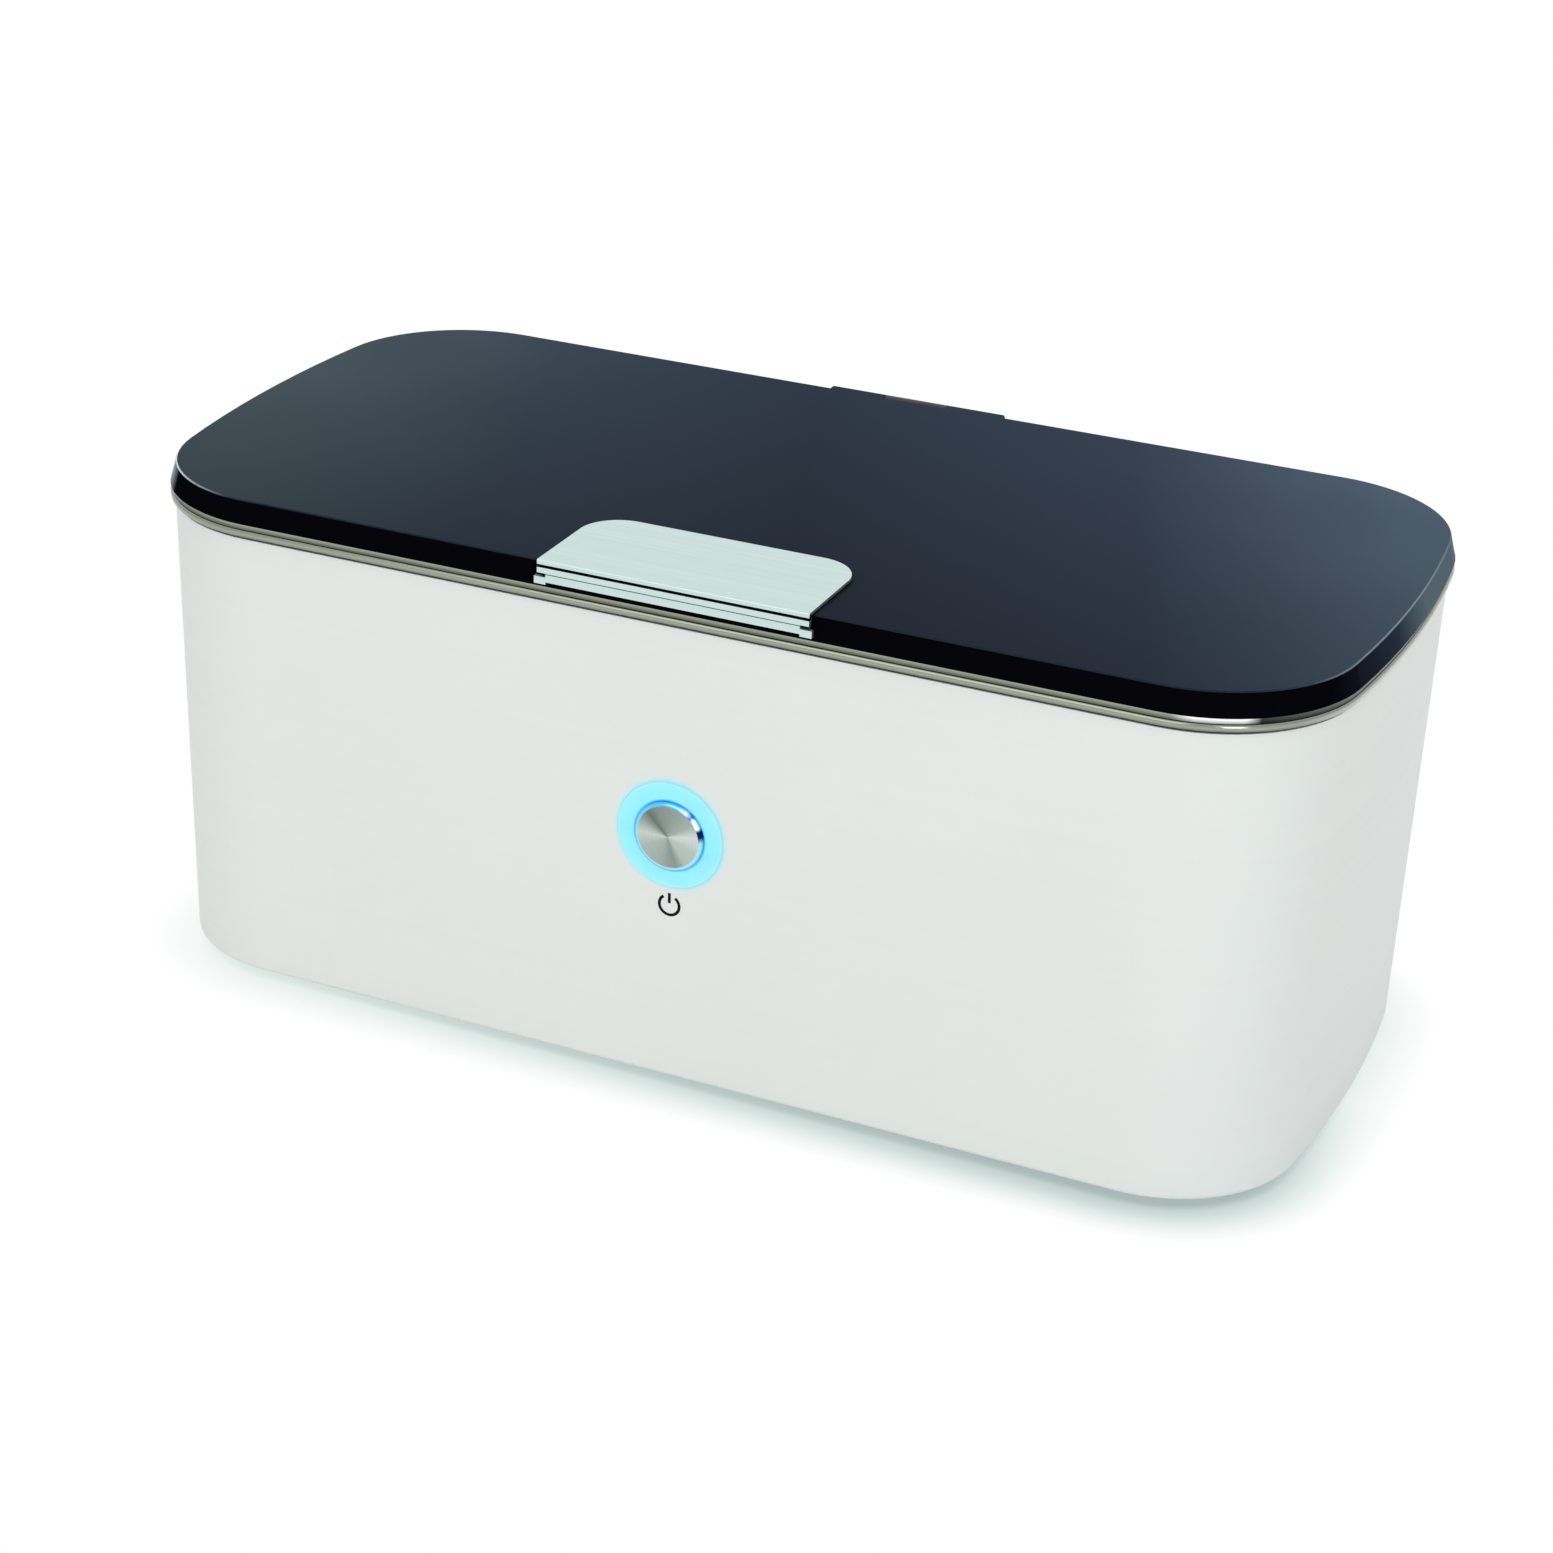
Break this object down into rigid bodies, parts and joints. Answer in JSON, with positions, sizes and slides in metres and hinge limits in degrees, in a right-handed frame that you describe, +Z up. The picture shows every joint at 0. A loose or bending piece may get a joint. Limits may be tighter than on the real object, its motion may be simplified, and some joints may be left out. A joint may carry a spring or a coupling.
{
  "type": "ultrasonic jewelry cleaner",
  "caption": "Bench-top ultrasonic cleaner: tapered white housing, steel tank with polished rim, hinged smoke-tinted lid with metal finger clip, and a lit push button.",
  "frame": {"origin": "on the table, under the middle of the housing", "axes": "+X along the length, to the right seen from the front; +Y to the back, where the hinge and the power inlet are; +Z up"},
  "size_m": [0.2068, 0.1027, 0.0891],
  "materials": {
    "housing_white": "satin moulded shell",
    "base_plastic": "fine texture",
    "foot_rubber": "matte",
    "screw_steel": "zinc plated",
    "tank_steel": "drawn, satin",
    "trim_steel": "polished",
    "gasket_rubber": "matte",
    "lid_smoke": "smoke-tinted, polished",
    "bumper_clear": "clear",
    "clip_metal": "fine satin",
    "bracket_plastic": "satin",
    "pin_steel": "ground",
    "ring_light": "lit from behind",
    "cap_steel": "spun face, polished edge",
    "switch_plastic": "satin",
    "spring_steel": "drawn wire",
    "led_plastic": "clear resin",
    "board_green": "solder mask",
    "inlet_plastic": "satin",
    "contact_brass": "tin plated brass",
    "bond_epoxy": "cured adhesive",
    "horn_aluminium": "turned",
    "piezo_ceramic": "sintered ceramic with silvered faces",
    "mass_steel": "turned",
    "ferrite": "sintered",
    "winding_tape": "polyester tape",
    "copper_wire": "enamelled copper",
    "capacitor_sleeve": "shrink sleeve",
    "film_box": "moulded box",
    "black_epoxy": "moulded epoxy",
    "fuse_glass": "glass with metal caps",
    "resistor_body": "lacquered",
    "connector_nylon": "natural nylon",
    "wire_insulation": "smooth"
  },
  "bodies": {
    "base": {"housing": "housing_white", "base_plate": "base_plastic", "feet": "foot_rubber", "base_screws": "screw_steel", "tank": "tank_steel", "trim_ring": "trim_steel", "tank_gasket": "gasket_rubber", "hinge_bracket": "bracket_plastic", "hinge_screws": "screw_steel", "light_ring": "ring_light", "button_spring": "spring_steel", "switch_body": "switch_plastic", "button_leds": "led_plastic", "button_board": "board_green", "button_screws": "screw_steel", "power_inlet": "inlet_plastic", "inlet_pins": "contact_brass", "bond_pad": "bond_epoxy", "transducer_horn": "horn_aluminium", "piezo_rings": "piezo_ceramic", "electrodes": "contact_brass", "transducer_back_mass": "mass_steel", "transducer_bolt": "screw_steel", "main_board": "board_green", "board_screws": "screw_steel", "transformer_core": "ferrite", "transformer_winding": "winding_tape", "choke_core": "ferrite", "choke_winding": "copper_wire", "bulk_capacitor": "capacitor_sleeve", "film_capacitors": "film_box", "heat_sink": "horn_aluminium", "transistors": "black_epoxy", "bridge_rectifier": "black_epoxy", "fuse": "fuse_glass", "fuse_clips": "contact_brass", "control_chip": "black_epoxy", "resistors": "resistor_body", "board_connectors": "connector_nylon", "wire_plugs": "connector_nylon", "inlet_wires": "wire_insulation", "transducer_wires": "wire_insulation", "button_wires": "wire_insulation"},
    "lid": {"lid": "lid_smoke", "lid_bumpers": "bumper_clear", "finger_clip": "clip_metal", "hinge_pin": "pin_steel"},
    "button": {"button_cap": "cap_steel", "switch_plunger": "switch_plastic"}
  },
  "joints": [
    {"name": "lid_hinge", "type": "hinge", "parent": "base", "child": "lid", "pos_m": [0, 0.0503, 0.0863], "axis": [-1, 0, 0], "range_deg": [0, 100]},
    {"name": "button_press", "type": "slide", "parent": "base", "child": "button", "axis": [0, 0.9999, 0.0162], "range_m": [0, 0.001], "stiffness_N_per_m": 500, "springref_m": -0.001, "deforming": ["button_spring"]}
  ]
}
